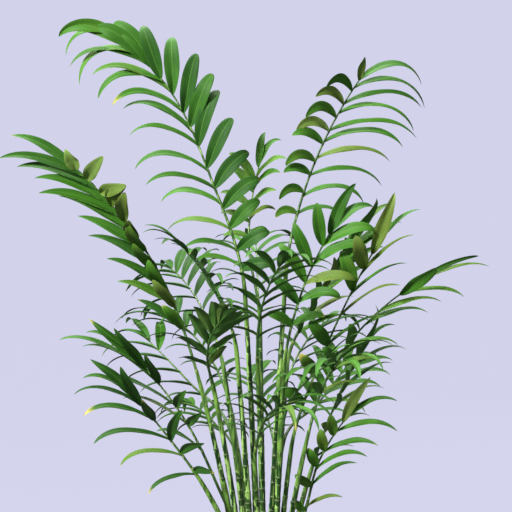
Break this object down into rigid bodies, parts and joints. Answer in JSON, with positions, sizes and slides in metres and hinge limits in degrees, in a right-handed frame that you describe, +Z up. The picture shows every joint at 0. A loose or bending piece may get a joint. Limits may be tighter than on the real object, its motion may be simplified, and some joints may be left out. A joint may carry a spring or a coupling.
{
  "type": "potted parlor palm",
  "caption": "Feather-leaved palm in a plain round pot: slender leaning green canes, arching fronds with narrow drooping leaflets, and a flat foot that stands on a floor.",
  "frame": {"origin": "centre of the pot's flat underside", "axes": "+Z up along the axis of the pot, -Y to the side that the picture shows, +X to its right"},
  "size_m": [0.9522, 0.9217, 1.2984],
  "materials": {
    "pot": "matte",
    "soil": "matte",
    "cane": "satin",
    "frond": "satin"
  },
  "bodies": {
    "root": {"pot": "pot", "soil": "soil", "cane_tall_left": "cane", "cane_tall_right": "cane", "cane_left_outer": "cane", "cane_left_low": "cane", "cane_left_front": "cane", "cane_left_inner": "cane", "cane_centre_left": "cane", "cane_centre_front": "cane", "cane_centre_back": "cane", "cane_right_front": "cane", "cane_right_outer": "cane", "cane_right_mid": "cane", "cane_right_low": "cane", "cane_right_back": "cane", "cane_back_left": "cane", "cane_back_right": "cane", "cane_front": "cane", "frond_tall_left": "frond", "frond_tall_right": "frond", "frond_left_high": "frond", "frond_left_mid": "frond", "frond_left_low": "frond", "frond_centre_young": "frond", "frond_right_high": "frond", "frond_right_back": "frond", "frond_right_outer": "frond", "frond_far_right": "frond", "frond_right_low_back": "frond", "frond_right_low": "frond", "frond_front_left": "frond", "frond_front_left_high": "frond", "frond_front_centre": "frond", "frond_front_low": "frond", "frond_front_right": "frond", "frond_back_left_high": "frond", "frond_back_left": "frond", "frond_back_left_low": "frond", "frond_left_back": "frond", "frond_back_high": "frond", "frond_back_right": "frond", "frond_back_low": "frond", "frond_right_back_low": "frond"}
  },
  "joints": []
}
